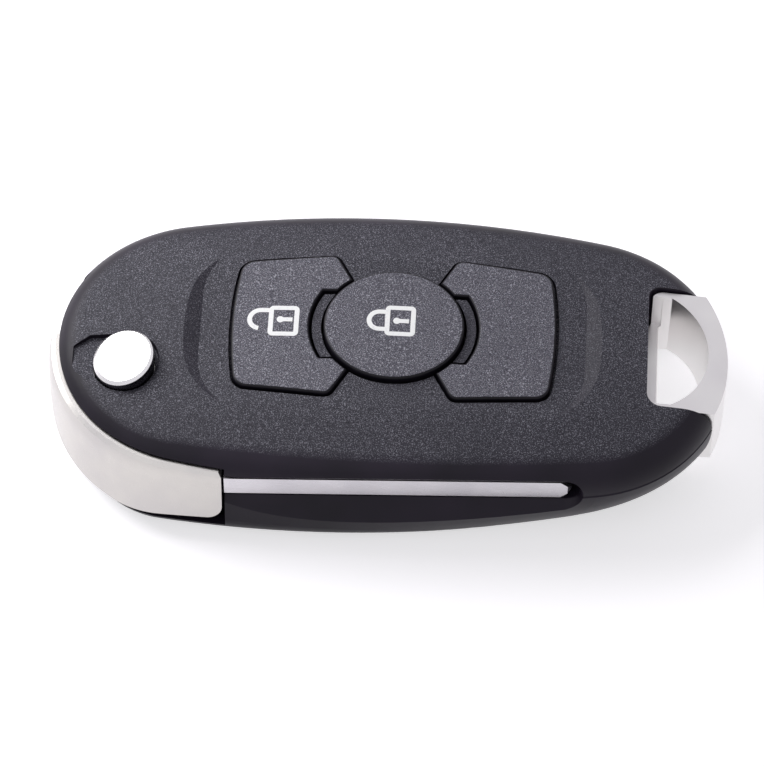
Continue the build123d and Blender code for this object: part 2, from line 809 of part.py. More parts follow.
with BuildPart() as rear_cover:
    add(lower_skin)
    chamfer(rear_cover.faces().sort_by(Axis.Z)[-1].edges(), length=parting_groove)
    add(rear_room.part, mode=Mode.SUBTRACT)
    add(blade_mouth(), mode=Mode.SUBTRACT)
    add(pillar(bay_plan(0, flare_reach, flare_mouth), bay_bottom, parting_z + 1), mode=Mode.SUBTRACT)
    add(blade_bay(), mode=Mode.SUBTRACT)
    add(pillar(notch_plan(0), -1, parting_z + 1), mode=Mode.SUBTRACT)
    neck_slot = neck_plan(notch_x - wall - 1, notch_x + 1, slot_gap)
    add(pillar(neck_slot, bow_neck_bottom - slot_gap, parting_z + 1), mode=Mode.SUBTRACT)
    add(cell_cradle.part)
    add(pillar(disc(pivot_x, pivot_y, hub_post), wall / 2, hub_post_top))
    add(pillar(disc(pivot_x, pivot_y, hub_post_bore), wall, hub_post_top), mode=Mode.SUBTRACT)
    for screw_x, screw_y in screws:
        seat = base_height(screw_x) + screw_sink + screw_head_height
        screw_way = disc(screw_x, screw_y, screw_diameter + running_gap)
        head_sink = disc(screw_x, screw_y, screw_head_diameter + running_gap)
        add(pillar(screw_way, 0, parting_z + 1), mode=Mode.SUBTRACT)
        add(pillar(head_sink, -1, seat), mode=Mode.SUBTRACT)
rear_cover.part.label = "rear_cover"

# Flip head: cast block with the hub bore, the tang pocket and the pin hole
with BuildPart() as case_core:
    add(upper_form(head_skin_in))
    add(lower_form(head_skin_in))
with BuildPart() as case_grown:
    add(upper_form(band_bulge))
    add(lower_form(band_bulge))

with BuildPart() as flip_head:
    add(head_block(case_core.part))
    with BuildSketch(blade_plane(blade_bottom)):
        with Locations((1, tang_y)):
            Rectangle(tang_length + 1 + seat_gap, tang_width, align=(Align.MAX, Align.CENTER))
    extrude(amount=blade_thickness, mode=Mode.SUBTRACT)
    add(pillar(disc(pivot_x, pivot_y, hub_bore), 0, crown_z), mode=Mode.SUBTRACT)
    with BuildSketch(blade_plane(pin_foot)):
        with Locations((-tang_length / 2, tang_y)):
            Circle(pin_diameter / 2)
    extrude(amount=crown_z, mode=Mode.SUBTRACT)
flip_head.part.label = "flip_head"

# Chrome band: thin wrap round the outside of the head, bevelled along its top edge
with BuildPart() as head_band:
    add(head_block(case_grown.part))
    chamfer(head_band.faces().sort_by(Axis.Z)[-1].edges(), length=band_bevel)
    add(case_core.part, mode=Mode.SUBTRACT)
    band_reach = block_plan(-far_out, far_out, -far_out, pivot_y + band_far_end)
    add(pillar(band_reach, 0, crown_z), mode=Mode.INTERSECT)
head_band.part.label = "head_band"

# Blade blank: grooved flat bar with a pointed tip and a narrower tang
with BuildPart() as key_blade:
    with BuildSketch(blade_plane(blade_bottom)):
        with BuildLine():
            Polyline(
                (slot_gap, 0),
                (blade_free_length - blade_tip_length, 0),
                (blade_free_length, (blade_width - blade_tip_width) / 2),
                (blade_free_length, (blade_width + blade_tip_width) / 2),
                (blade_free_length - blade_tip_length, blade_width),
                (blade_shoulder, blade_width),
                close=True,
            )
        make_face()
    extrude(amount=blade_thickness)
    with BuildSketch(blade_side_plane(1)):
        with BuildLine():
            half = blade_thickness / 2
            Polyline(
                (0, half),
                (blade_free_length - blade_tip_bevel, half),
                (blade_free_length, blade_tip_edge / 2),
                (blade_free_length, -blade_tip_edge / 2),
                (blade_free_length - blade_tip_bevel, -half),
                (0, -half),
                close=True,
            )
        make_face()
    extrude(amount=-(blade_width + 2), mode=Mode.INTERSECT)
    with BuildSketch(blade_plane(blade_bottom)):
        with Locations((1, tang_y)):
            Rectangle(tang_length + 1, tang_width - 2 * seat_gap, align=(Align.MAX, Align.CENTER))
    extrude(amount=blade_thickness)
    for groove_foot in (blade_bottom, blade_top - blade_groove_depth):
        with BuildSketch(blade_plane(groove_foot)):
            with Locations((blade_groove_start, blade_width / 2)):
                Rectangle(blade_free_length, blade_groove_width, align=(Align.MIN, Align.CENTER))
        extrude(amount=blade_groove_depth, mode=Mode.SUBTRACT)
    with BuildSketch(blade_plane(blade_bottom)):
        with Locations((-tang_length / 2, tang_y)):
            Circle(pin_diameter / 2)
    extrude(amount=blade_thickness, mode=Mode.SUBTRACT)
key_blade.part.label = "key_blade"

# Roll pin that holds the tang in the head: a slit tube
with BuildPart() as blade_pin:
    with BuildSketch(blade_plane(pin_foot)):
        with Locations((-tang_length / 2, tang_y)):
            Circle(pin_diameter / 2)
            Circle(pin_diameter / 2 - pin_slit, mode=Mode.SUBTRACT)
            Rectangle(pin_diameter, pin_slit, align=(Align.MIN, Align.CENTER), mode=Mode.SUBTRACT)
    extrude(amount=head_top - wall / 2 - pin_foot)
blade_pin.part.label = "blade_pin"

# Release button: slanted chrome cap on a skirt that the cover holds down
with BuildPart() as release_button:
    add(pillar(disc(pivot_x, pivot_y, release_diameter), head_top - running_gap, crown_z + far_out))
    slant = Plane((pivot_x, pivot_y, release_top_z)).rotated((release_slant_y, -release_slant_x, 0))
    split(bisect_by=slant, keep=Keep.BOTTOM)
    chamfer(release_button.faces().sort_by(Axis.Z)[-1].edges(), length=release_bevel)
    add(pillar(disc(pivot_x, pivot_y, release_skirt), release_skirt_bottom, bay_top - running_gap / 2))
    stem_foot = bay_bottom + release_travel + running_gap
    add(pillar(disc(pivot_x, pivot_y, release_stem), stem_foot, release_skirt_bottom))
release_button.part.label = "release_button"

# Flip spring: coil that stands in the hub post and carries the release button's skirt
with BuildPart() as flip_spring:
    coil_radius = (spring_diameter - spring_wire) / 2
    with BuildLine():
        coil = Helix(
            pitch=spring_pitch,
            height=spring_height,
            radius=coil_radius,
            center=(pivot_x, pivot_y, spring_foot),
        )
    with BuildSketch(Plane(coil @ 0, z_dir=coil % 0)):
        RegularPolygon(spring_wire / 2, 8)
    sweep()
flip_spring.part.label = "flip_spring"

# Buttons, and the keypad parts under them
unlock_button = pad_button(-1, unlock_nib)
unlock_button.label = "unlock_button"
blank_button = pad_button(1, blank_nib)
blank_button.label = "blank_button"
lock_button = button(lock_oval(0), lock_lip_plan(), lock_oval(-button_skin), lock_proud, lock_nib)
lock_button.label = "lock_button"

with BuildPart() as keypad_frame:
    frame_left = board_left + frame_inset
    frame_right = board_right - frame_inset
    frame_near = board_near + frame_inset
    frame_far = keypad_y + pad_inner_y
    frame_plan = block_plan(frame_left, frame_right, frame_near, frame_far)
    add(pillar(frame_plan, frame_bottom, frame_bottom + frame_thickness))
    add(pillar(rib_plan(0), frame_bottom, crown_z))
    add(under_arc(floor_arc_radius + seat_gap), mode=Mode.INTERSECT)
    for leg_x, leg_y in frame_legs:
        add(pillar(disc(leg_x, leg_y, frame_leg), board_top, frame_bottom + seat_gap))
    for nib_x, nib_y in nibs:
        add(pillar(disc(nib_x, nib_y, nib_diameter + 1), board_top, crown_z), mode=Mode.SUBTRACT)
keypad_frame.part.label = "keypad_frame"

with BuildPart() as keypad_mat:
    mat_left = board_left + mat_inset
    mat_right = board_right - mat_inset
    mat_plan = block_plan(mat_left, mat_right, board_near + mat_inset, frame_far - running_gap)
    add(pillar(mat_plan, mat_bottom, frame_bottom))
    for leg_x, leg_y in frame_legs:
        add(pillar(disc(leg_x, leg_y, frame_leg + running_gap), mat_bottom, frame_bottom), mode=Mode.SUBTRACT)
keypad_mat.part.label = "keypad_mat"

# Circuit board and what it carries
with BuildPart() as circuit_board:
    with BuildSketch(Plane.XY.offset(board_bottom)):
        add(case_outline(-wall - 1))
        add(block_plan(board_left, board_right, board_near, far_out), mode=Mode.INTERSECT)
        fillet(vertices().group_by(Axis.Y)[0], radius=board_corner)
    extrude(amount=board_thickness)
circuit_board.part.label = "circuit_board"

switch_unlock = push_switch(*unlock_nib)
switch_unlock.label = "switch_unlock"
switch_lock = push_switch(*lock_nib)
switch_lock.label = "switch_lock"
switch_blank = push_switch(*blank_nib)
switch_blank.label = "switch_blank"

with BuildPart() as controller_chip:
    with BuildSketch(Plane.XY.offset(board_top)):
        with Locations((chip_x, chip_y)):
            Rectangle(chip_size, chip_size)
    extrude(amount=chip_height)
    chamfer(controller_chip.faces().sort_by(Axis.Z)[-1].edges(), length=chip_edge)
controller_chip.part.label = "controller_chip"

with BuildPart() as radio_crystal:
    with BuildSketch(Plane.XY.offset(board_top)):
        with Locations((crystal_x, crystal_y)):
            RectangleRounded(crystal_length, crystal_width, crystal_width / 6)
    extrude(amount=crystal_height)
radio_crystal.part.label = "radio_crystal"

with BuildPart() as transponder_coil:
    with BuildSketch(Plane.XY.offset(board_bottom - coil_height)):
        with Locations((coil_x, coil_y)):
            Rectangle(coil_width, coil_length)
            with GridLocations(0, coil_length - coil_cheek, 1, 2):
                Rectangle(coil_cheek_width, coil_cheek)
    extrude(amount=coil_height)
transponder_coil.part.label = "transponder_coil"

# Coin cell: a can with a smaller contact face, and the two clips that lead to the board
with BuildPart() as coin_cell:
    add(pillar(disc(cell_x, cell_y, cell_diameter), cell_bottom, cell_top - cell_gap))
    fillet(coin_cell.edges().filter_by(GeomType.CIRCLE), radius=cell_edge)
    add(pillar(disc(cell_x, cell_y, cell_diameter - 2 * cell_rim), cell_bottom + cell_edge, cell_top))
coin_cell.part.label = "coin_cell"

with BuildPart() as battery_clip_positive:
    clip_near = cell_x - clip_width / 2
    clip_far = cell_x + clip_width / 2
    rise_y = cell_y + cell_diameter / 2 + cell_gap
    contact = block_plan(clip_near, clip_far, cell_y, rise_y + clip_thickness)
    rise = block_plan(clip_near, clip_far, rise_y, rise_y + clip_thickness)
    add(pillar(contact, cell_bottom - clip_thickness, cell_bottom))
    add(pillar(rise, cell_bottom - clip_thickness, board_bottom))
battery_clip_positive.part.label = "battery_clip_positive"

with BuildPart() as battery_clip_negative:
    clip_left = cell_x - cell_diameter / 2
    leaf = block_plan(clip_left, cell_x + clip_width, cell_y - clip_width / 2, cell_y + clip_width / 2)
    foot = block_plan(clip_left, clip_left + clip_foot, cell_y - clip_width / 2, cell_y + clip_width / 2)
    add(pillar(leaf, cell_top, cell_top + clip_thickness))
    add(pillar(foot, cell_top, board_bottom))
battery_clip_negative.part.label = "battery_clip_negative"

# Key ring bow: a cast loop with a bar that the covers hold between them
with BuildPart() as key_ring_bow:
    bow_foot = notch_x + slot_gap
    bow_half = notch_width / 2 - slot_gap
    with BuildSketch(Plane.XY.offset(bow_bottom)):
        add(case_outline(0))
        add(block_plan(bow_foot, far_out, notch_y - bow_half, notch_y + bow_half), mode=Mode.INTERSECT)
        fillet(vertices().group_by(Axis.X)[0], radius=notch_corner)
    extrude(amount=bow_top - bow_bottom)
    with BuildSketch(Plane.XY.offset(bow_top)):
        add(bow_hole_plan(bow_foot + bow_lip))
    extrude(amount=bow_bottom - bow_top, taper=bow_draft, mode=Mode.SUBTRACT)
    split(bisect_by=Plane((bow_foot, 0, bow_top)).rotated((0, bow_top_slope, 0)), keep=Keep.BOTTOM)
    bar_end = notch_x - wall - running_gap
    bar_half = bow_bar_width / 2
    lip_half = bow_half - bow_lip
    lip_cut = block_plan(bow_foot - 1, bow_foot + 2 * bow_lip, notch_y - lip_half, notch_y + lip_half)
    add(pillar(lip_cut, bow_neck_top, crown_z), mode=Mode.SUBTRACT)
    bar = block_plan(bar_end - bow_bar_length, bar_end, notch_y - bar_half, notch_y + bar_half)
    neck = neck_plan(bar_end - seat_gap, bow_foot + bow_lip / 2)
    add(pillar(neck, bow_neck_bottom, bow_neck_top))
    add(pillar(bar, bow_neck_bottom, bow_neck_top))
key_ring_bow.part.label = "key_ring_bow"

# Case screws
case_screw_head = case_screw(*screws[0])
case_screw_head.label = "case_screw_head"
case_screw_tail = case_screw(*screws[1])
case_screw_tail.label = "case_screw_tail"

pieces = [
    front_cover.part,
    rear_cover.part,
    flip_head.part,
    head_band.part,
    key_blade.part,
    blade_pin.part,
    release_button.part,
    flip_spring.part,
    unlock_button,
    lock_button,
    blank_button,
    keypad_frame.part,
    keypad_mat.part,
    circuit_board.part,
    switch_unlock,
    switch_lock,
    switch_blank,
    controller_chip.part,
    radio_crystal.part,
    transponder_coil.part,
    coin_cell.part,
    battery_clip_positive.part,
    battery_clip_negative.part,
    key_ring_bow.part,
    case_screw_head,
    case_screw_tail,
]
os.makedirs("parts", exist_ok=True)
for piece in pieces:
    export_step(piece, f"parts/{piece.label}.step")
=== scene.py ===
"""Looks of a flip key fob shell: finishes, printed symbols, studio and camera.

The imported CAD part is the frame. Every one of its pieces keeps its shape and gets its finish
here, and two padlock symbols are added as thin prints that ride on their buttons.
All lengths are metres. +X runs to the key ring end, -Y is the blade side and +Z is up.
"""

import json
import logging
import math
from dataclasses import dataclass
from enum import Enum

import bpy
import numpy as np
from mathutils import Matrix

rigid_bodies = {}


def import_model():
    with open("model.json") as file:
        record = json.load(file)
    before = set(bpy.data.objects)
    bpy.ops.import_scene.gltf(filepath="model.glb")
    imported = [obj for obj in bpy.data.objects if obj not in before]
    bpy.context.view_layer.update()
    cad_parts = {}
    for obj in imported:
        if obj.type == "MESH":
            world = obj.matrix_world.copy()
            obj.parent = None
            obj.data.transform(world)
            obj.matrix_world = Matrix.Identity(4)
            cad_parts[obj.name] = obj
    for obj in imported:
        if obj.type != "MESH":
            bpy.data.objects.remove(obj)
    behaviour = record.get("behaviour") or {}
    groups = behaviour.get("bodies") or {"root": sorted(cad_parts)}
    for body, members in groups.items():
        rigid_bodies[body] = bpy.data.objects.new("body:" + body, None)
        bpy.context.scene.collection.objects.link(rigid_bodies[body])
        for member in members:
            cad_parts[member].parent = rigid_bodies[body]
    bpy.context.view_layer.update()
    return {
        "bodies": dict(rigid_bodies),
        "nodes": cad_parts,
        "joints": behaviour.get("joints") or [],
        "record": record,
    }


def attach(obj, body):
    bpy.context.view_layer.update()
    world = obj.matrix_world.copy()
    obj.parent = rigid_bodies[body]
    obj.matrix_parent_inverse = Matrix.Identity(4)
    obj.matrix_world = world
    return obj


log = logging.getLogger("key_fob_shell")

MM = 0.001
PHOTO_WIDTH = 764
SENSOR_WIDTH = 36.0
NOISE_MIDDLE = (0.3, 0.7)  # most values of a noise texture lie in here

Socket = bpy.types.NodeSocket
Triple = tuple[float, float, float]


def linear(code: str) -> tuple[float, float, float, float]:
    """Linear colour of a six-digit sRGB code.

    Args:
        code: The colour as "#RRGGBB".

    Returns:
        Red, green, blue and an alpha of 1. Each part p of 0 to 1 becomes p / 12.92 below
        0.04045, and ((p + 0.055) / 1.055) to the power 2.4 above it.
    """
    parts = np.array([int(code[i:i + 2], 16) for i in (1, 3, 5)]) / 255
    parts = np.where(parts <= 0.04045, parts / 12.92, ((parts + 0.055) / 1.055) ** 2.4)
    return (*parts.tolist(), 1.0)


class NodeSheet:
    """A material in the making: one Principled shader and the nodes that feed it."""

    def __init__(self, name: str) -> None:
        """Starts the material.

        Args:
            name: The material's name.
        """
        self.material = bpy.data.materials.new(name)
        self.material.use_nodes = True
        self.nodes = self.material.node_tree.nodes
        self.links = self.material.node_tree.links
        self.shader = self.nodes["Principled BSDF"]
        self.place = self.nodes.new("ShaderNodeTexCoord")

    def wire(self, node: bpy.types.Node, inputs: dict) -> bpy.types.Node:
        """Sets or links a node's inputs.

        Args:
            node: The node to feed.
            inputs: A value or a socket for each input, by the input's name or number.

        Returns:
            The same node.
        """
        for key, value in inputs.items():
            if isinstance(value, Socket):
                self.links.new(value, node.inputs[key])
            else:
                node.inputs[key].default_value = value
        return node

    def add(self, kind: str, inputs: dict, **settings: object) -> bpy.types.Node:
        """Adds a node.

        Args:
            kind: The node's type without its ShaderNode prefix.
            inputs: A value or a socket for each input.
            **settings: The node's own properties.

        Returns:
            The new node.
        """
        node = self.nodes.new(f"ShaderNode{kind}")
        for key, value in settings.items():
            setattr(node, key, value)
        return self.wire(node, inputs)

    def grid(self, size: float, along: Triple) -> Socket:
        """Object coordinates counted in steps of a pattern.

        Args:
            size: One step of the pattern.
            along: How many times longer the step is along X, Y and Z.

        Returns:
            The scaled coordinates.
        """
        steps = [size * share for share in along]
        inputs = {"Vector": self.place.outputs["Object"], "Scale": steps}
        return self.add("Mapping", inputs, vector_type="TEXTURE").outputs["Vector"]

    def noise(self, size: float, detail: float = 2.0, along: Triple = (1, 1, 1)) -> Socket:
        """Cloudy noise from 0 to 1.

        Args:
            size: About one lump of the noise.
            detail: How many finer layers it has.
            along: How many times longer a lump is along X, Y and Z.

        Returns:
            The noise value.
        """
        inputs = {"Vector": self.grid(size, along), "Scale": 1.0, "Detail": detail}
        return self.add("TexNoise", inputs).outputs[0]

    def cells(self, size: float, along: Triple = (1, 1, 1)) -> Socket:
        """Distance from the nearest of many scattered points, in steps.

        Args:
            size: About the spacing of the points.
            along: How many times wider the spacing is along X, Y and Z.

        Returns:
            The distance value.
        """
        inputs = {"Vector": self.grid(size, along), "Scale": 1.0}
        return self.add("TexVoronoi", inputs).outputs["Distance"]

    def bands(self, size: float, axis: str) -> Socket:
        """Parallel bands from 0 to 1 and back.

        Args:
            size: The spacing of the bands.
            axis: "X", "Y" or "Z", the axis that the bands follow one another along.

        Returns:
            The band value.
        """
        # At scale 1 the wave texture repeats every tau / 20, so this scale gives a band a step.
        scale = math.tau / 20
        inputs = {"Vector": self.grid(size, (1, 1, 1)), "Scale": scale, "Distortion": 0.0}
        return self.add("TexWave", inputs, bands_direction=axis).outputs["Fac"]

    def spread(self, source: Socket, low: float, high: float, start: float = 0.0,
               end: float = 1.0) -> Socket:
        """Carries one range of values over to another, and stops at its ends.

        Args:
            source: The value to carry over.
            low: The value that becomes start.
            high: The value that becomes end.
            start: The result at low.
            end: The result at high.

        Returns:
            The new value.
        """
        inputs = {"Value": source, "From Min": low, "From Max": high, "To Min": start,
                  "To Max": end}
        return self.add("MapRange", inputs).outputs["Result"]

    def times(self, first: Socket, second: Socket | float) -> Socket:
        """Product of two values.

        Args:
            first: One value.
            second: The other.

        Returns:
            The product.
        """
        return self.add("Math", {0: first, 1: second}, operation="MULTIPLY").outputs[0]

    def blend(self, share: Socket, first: Socket | tuple, second: Socket | tuple) -> Socket:
        """Mixes two colours.

        Args:
            share: 0 for the first colour, 1 for the second.
            first: The first colour.
            second: The second colour.

        Returns:
            The mixed colour.
        """
        inputs = {0: share, 6: first, 7: second}
        return self.add("Mix", inputs, data_type="RGBA").outputs[2]

    def upward(self) -> Socket:
        """How far the surface faces up.

        Returns:
            1 on a level face, 0 on a wall and -1 on an underside.
        """
        facing = {"Vector": self.place.outputs["Normal"]}
        return self.add("SeparateXYZ", facing).outputs["Z"]

    def relief(self, height: Socket, depth: float) -> None:
        """Raises the surface by a height map.

        Args:
            height: The height, from 0 to 1.
            depth: The relief's full height.
        """
        bump = self.add("Bump", {"Height": height, "Distance": depth, "Strength": 1.0})
        self.wire(self.shader, {"Normal": bump.outputs["Normal"]})

    def finish(self, inputs: dict) -> bpy.types.Material:
        """Feeds the shader.

        Args:
            inputs: A value or a socket for each of the shader's inputs.

        Returns:
            The finished material.
        """
        self.wire(self.shader, inputs)
        return self.material


class Facing(Enum):
    """Which way the grained faces of a moulding look."""

    UP = 1.0
    DOWN = -1.0


@dataclass(frozen=True)
class ErodedPlastic:
    """Black moulded plastic with spark-eroded level faces and ungrained steep ones, with painted
    light and shade in its colour.
    """

    name: str
    # Painted shade in the grain's hollows, painted light on its peaks, then painted glints.
    painted_pit_shade: str = "#1A191F"
    grain: str = "#44434B"
    painted_glint: str = "#8F8E98"
    # Ungrained tones of the steep faces, partly their own and partly painted shade.
    smooth_and_shade: str = "#19151E"
    smooth_and_shade_pale: str = "#2A2430"
    facing: Facing = Facing.UP
    grain_size: float = 0.09 * MM
    grain_depth: float = 0.03 * MM
    cloud_size: float = 9 * MM
    grain_range: tuple[float, float] = (0.36, 0.56)
    painted_glint_range: tuple[float, float] = (0.56, 0.74)
    painted_glint_scale: float = 1.3
    fewest_painted_glints: float = 0.7
    steep: float = 0.88
    level: float = 0.985
    side_roughness: float = 0.42
    grain_roughness: float = 0.62
    sheen_level: float = 0.2

    def make(self) -> bpy.types.Material:
        """Fine noise gives pits, grain and painted glints wherever the surface is near level.

        Returns:
            The finished material.
        """
        sheet = NodeSheet(self.name)
        top = sheet.times(sheet.upward(), self.facing.value)
        # The wide ramp from steep to level paints shade that darkens gradually down the roll-off.
        top = sheet.spread(top, self.steep, self.level)
        grain = sheet.noise(self.grain_size, 1.0)
        cloud = sheet.noise(self.cloud_size, 2.0)
        # The colour follows the relief's height: painted shade in the hollows, painted light on
        # the peaks.
        body = sheet.blend(sheet.spread(grain, *self.grain_range), linear(self.painted_pit_shade),
                           linear(self.grain))
        # Painted glints: bright dots of highlight drawn into the grain's colour.
        painted_glints = sheet.noise(self.grain_size * self.painted_glint_scale, 0.0)
        painted_glints = sheet.times(sheet.spread(painted_glints, *self.painted_glint_range),
                             sheet.spread(cloud, *NOISE_MIDDLE, self.fewest_painted_glints, 1.0))
        body = sheet.blend(painted_glints, body, linear(self.painted_glint))
        # Steep faces: their own dark tone, deepened as painted shade.
        sides_and_shade = sheet.blend(sheet.spread(cloud, *NOISE_MIDDLE), linear(self.smooth_and_shade),
                            linear(self.smooth_and_shade_pale))
        sheet.relief(sheet.times(grain, top), self.grain_depth)
        return sheet.finish({
            "Base Color": sheet.blend(top, sides_and_shade, body),
            "Roughness": sheet.spread(top, 0.0, 1.0, self.side_roughness,
                                      self.grain_roughness),
            "Specular IOR Level": self.sheen_level,
        })


@dataclass(frozen=True)
class MouldedPlastic:
    """Plain moulded plastic or rubber with a faint skin and flow marks."""

    name: str
    base: str
    light: str
    roughness: float = 0.45
    smoother: float = 0.06
    rougher: float = 0.08
    grain_size: float = 0.35 * MM
    grain_depth: float = 0.006 * MM
    flow_size: float = 5 * MM
    sheen_level: float = 0.3

    def make(self) -> bpy.types.Material:
        """Broad flow marks shift the colour, and fine noise roughens the skin.

        Returns:
            The finished material.
        """
        sheet = NodeSheet(self.name)
        flow = sheet.noise(self.flow_size, 3.0, (2.0, 1.0, 1.0))
        skin = sheet.noise(self.grain_size, 2.0)
        sheet.relief(skin, self.grain_depth)
        low, high = self.roughness - self.smoother, self.roughness + self.rougher
        return sheet.finish({
            "Base Color": sheet.blend(sheet.spread(flow, *NOISE_MIDDLE), linear(self.base),
                                      linear(self.light)),
            "Roughness": sheet.spread(skin, *NOISE_MIDDLE, low, high),
            "Specular IOR Level": self.sheen_level,
        })


@dataclass(frozen=True)
class Metal:
    """Bare or plated metal, with marks that may run one way and a painted tone on its steep
    faces: painted light for some pieces, painted shade for others.
    """

    name: str
    base: str
    light: str
    roughness: float = 0.3
    rough_swing: float = 0.06
    mark_size: float = 0.12 * MM
    mark_along: Triple = (1, 1, 1)
    mark_depth: float = 0.001 * MM
    cloud_size: float = 6 * MM
    painted_wall: str | None = None
    painted_wall_rise: tuple[float, float] = (0.1, 0.35)

    def make(self) -> bpy.types.Material:
        """Stretched noise makes the marks and sways the gloss, and a broad cloud the tone.

        Steep faces take the painted tone where there is one, painted light or painted shade as
        each piece is given.

        Returns:
            The finished material.
        """
        sheet = NodeSheet(self.name)
        marks = sheet.noise(self.mark_size, 3.0, self.mark_along)
        cloud = sheet.noise(self.cloud_size, 2.0)
        sheet.relief(marks, self.mark_depth)
        low, high = self.roughness - self.rough_swing, self.roughness + self.rough_swing
        tone = sheet.blend(sheet.spread(cloud, *NOISE_MIDDLE), linear(self.base),
                           linear(self.light))
        if self.painted_wall:
            # Painted tone on steep faces, standing in for their light or shade.
            facing = sheet.spread(sheet.upward(), *self.painted_wall_rise)
            tone = sheet.blend(facing, linear(self.painted_wall), tone)
        return sheet.finish({
            "Base Color": tone,
            "Metallic": 1.0,
            "Roughness": sheet.spread(marks, *NOISE_MIDDLE, low, high),
        })


@dataclass(frozen=True)
class BoardLaminate:
    """Circuit board: green lacquer over copper tracks and glass weave."""

    name: str
    lacquer: str = "#1F5A3C"
    track: str = "#3F8A5C"
    track_spacing: float = 1.1 * MM
    track_along: Triple = (2.5, 1.0, 1.0)
    track_edge: tuple[float, float] = (0.42, 0.5)
    weave: float = 0.4 * MM
    lacquer_depth: float = 0.01 * MM
    roughness: tuple[float, float] = (0.28, 0.4)

    def make(self) -> bpy.types.Material:
        """Tracks lie where the distance to scattered points is large.

        Returns:
            The finished material.
        """
        sheet = NodeSheet(self.name)
        tracks = sheet.spread(sheet.cells(self.track_spacing, self.track_along),
                              *self.track_edge)
        weave = sheet.times(sheet.bands(self.weave, "X"), sheet.bands(self.weave, "Y"))
        sheet.relief(tracks, self.lacquer_depth)
        return sheet.finish({
            "Base Color": sheet.blend(tracks, linear(self.lacquer), linear(self.track)),
            "Roughness": sheet.spread(weave, 0.0, 1.0, *self.roughness),
        })


@dataclass(frozen=True)
class WoundCopper:
    """Lacquered copper wire wound in close turns."""

    name: str
    base: str = "#8A4A24"
    painted_crest_highlight: str = "#C97F4B"
    wire: float = 0.1 * MM
    axis: str = "X"
    roughness: tuple[float, float] = (0.42, 0.28)

    def make(self) -> bpy.types.Material:
        """Each band is one turn of wire, with a painted highlight at the top of the turn.

        Returns:
            The finished material.
        """
        sheet = NodeSheet(self.name)
        turns = sheet.bands(self.wire, self.axis)
        sheet.relief(turns, self.wire / 2)
        return sheet.finish({
            # Painted highlight along each turn.
            "Base Color": sheet.blend(turns, linear(self.base), linear(self.painted_crest_highlight)),
            "Metallic": 1.0,
            "Roughness": sheet.spread(turns, 0.0, 1.0, *self.roughness),
        })


@dataclass(frozen=True)
class PrintInk:
    """White pad-printed ink, slightly thin where the grain below is high."""

    name: str
    ink: str = "#FFFFFF"
    thin: str = "#F0EFF4"
    grain_size: float = 0.2 * MM
    ink_depth: float = 0.008 * MM
    high_grain: tuple[float, float] = (0.55, 0.75)
    roughness: tuple[float, float] = (0.45, 0.6)
    sheen_level: float = 0.3

    def make(self) -> bpy.types.Material:
        """The grain of the button shows faintly through the ink.

        Returns:
            The finished material.
        """
        sheet = NodeSheet(self.name)
        grain = sheet.noise(self.grain_size, 1.5)
        sheet.relief(grain, self.ink_depth)
        return sheet.finish({
            "Base Color": sheet.blend(sheet.spread(grain, *self.high_grain), linear(self.ink),
                                      linear(self.thin)),
            "Roughness": sheet.spread(grain, *NOISE_MIDDLE, *self.roughness),
            "Specular IOR Level": self.sheen_level,
        })


Finish = ErodedPlastic | MouldedPlastic | Metal | BoardLaminate | WoundCopper | PrintInk


@dataclass
class SubAssembly:
    """Pieces of the fob that are fitted together."""

    frame: dict
    title: str

    def coat(self, finish: Finish, *nodes: str) -> None:
        """Gives CAD pieces their finish.

        Args:
            finish: The finish.
            *nodes: The names of the CAD pieces.
        """
        material = finish.make()
        for name in nodes:
            slots = self.frame["nodes"][name].data.materials
            slots.clear()
            slots.append(material)
            log.info("%s: %s in %s", self.title, name, finish.name)

    def dress(self) -> None:
        """Gives every piece its finish."""
        raise NotImplementedError


@dataclass
class Housing(SubAssembly):
    """Front and rear cover, with the screws that hold them together."""

    title: str = "housing"

    def dress(self) -> None:
        """Eroded plastic for both covers and plated steel for the screws."""
        self.coat(ErodedPlastic("front_grain"), "front_cover")
        self.coat(ErodedPlastic("rear_grain", facing=Facing.DOWN), "rear_cover")
        self.coat(Metal("screw_plating", "#4A4A50", "#6A6A70"), "case_screw_head",
                  "case_screw_tail")


@dataclass
class KeyRingBow(SubAssembly):
    """Chromed ring loop at the tail."""

    title: str = "key ring bow"

    def dress(self) -> None:
        """Satin chrome, with painted light on its walls."""
        self.coat(Metal("bow_silver", "#D3D0D0", "#DCDAD8", 0.36, 0.04, painted_wall="#F2F0EF"),
                  "key_ring_bow")


@dataclass
class FlipKey(SubAssembly):
    """The head that swings out, its chromed band, the blade and the pin."""

    title: str = "flip key"

    def dress(self) -> None:
        """Black plastic, satin chrome, ground steel and a turned pin."""
        self.coat(MouldedPlastic("head_black", "#1A181E", "#222027"), "flip_head")
        self.coat(Metal("band_chrome", "#BAB7B5", "#C4C1BC", 0.3, 0.03), "head_band")
        self.coat(Metal("blade_ground", "#CDCACF", "#DCD9DD", 0.34, 0.1, 0.05 * MM,
                        (60, 1, 1), 0.002 * MM), "key_blade")
        self.coat(Metal("pin_turned", "#9A9AA0", "#BDBDC2", 0.3, 0.08, 0.05 * MM,
                        (30, 1, 1)), "blade_pin")


@dataclass
class Release(SubAssembly):
    """Push button that lets the blade swing out, and the spring under it."""

    title: str = "release"

    def dress(self) -> None:
        """Satin chrome with painted shade on the button's steep faces, a painted reflection of
        the dark shell, and drawn wire for the spring.
        """
        # The darker steep-face tone is a painted reflection of the black shell.
        self.coat(Metal("release_chrome", "#DEDCDC", "#EAE9E8", 0.27, 0.03, painted_wall="#75727A"),
                  "release_button")
        self.coat(Metal("spring_wire", "#77777D", "#9C9CA2", 0.32, 0.08), "flip_spring")


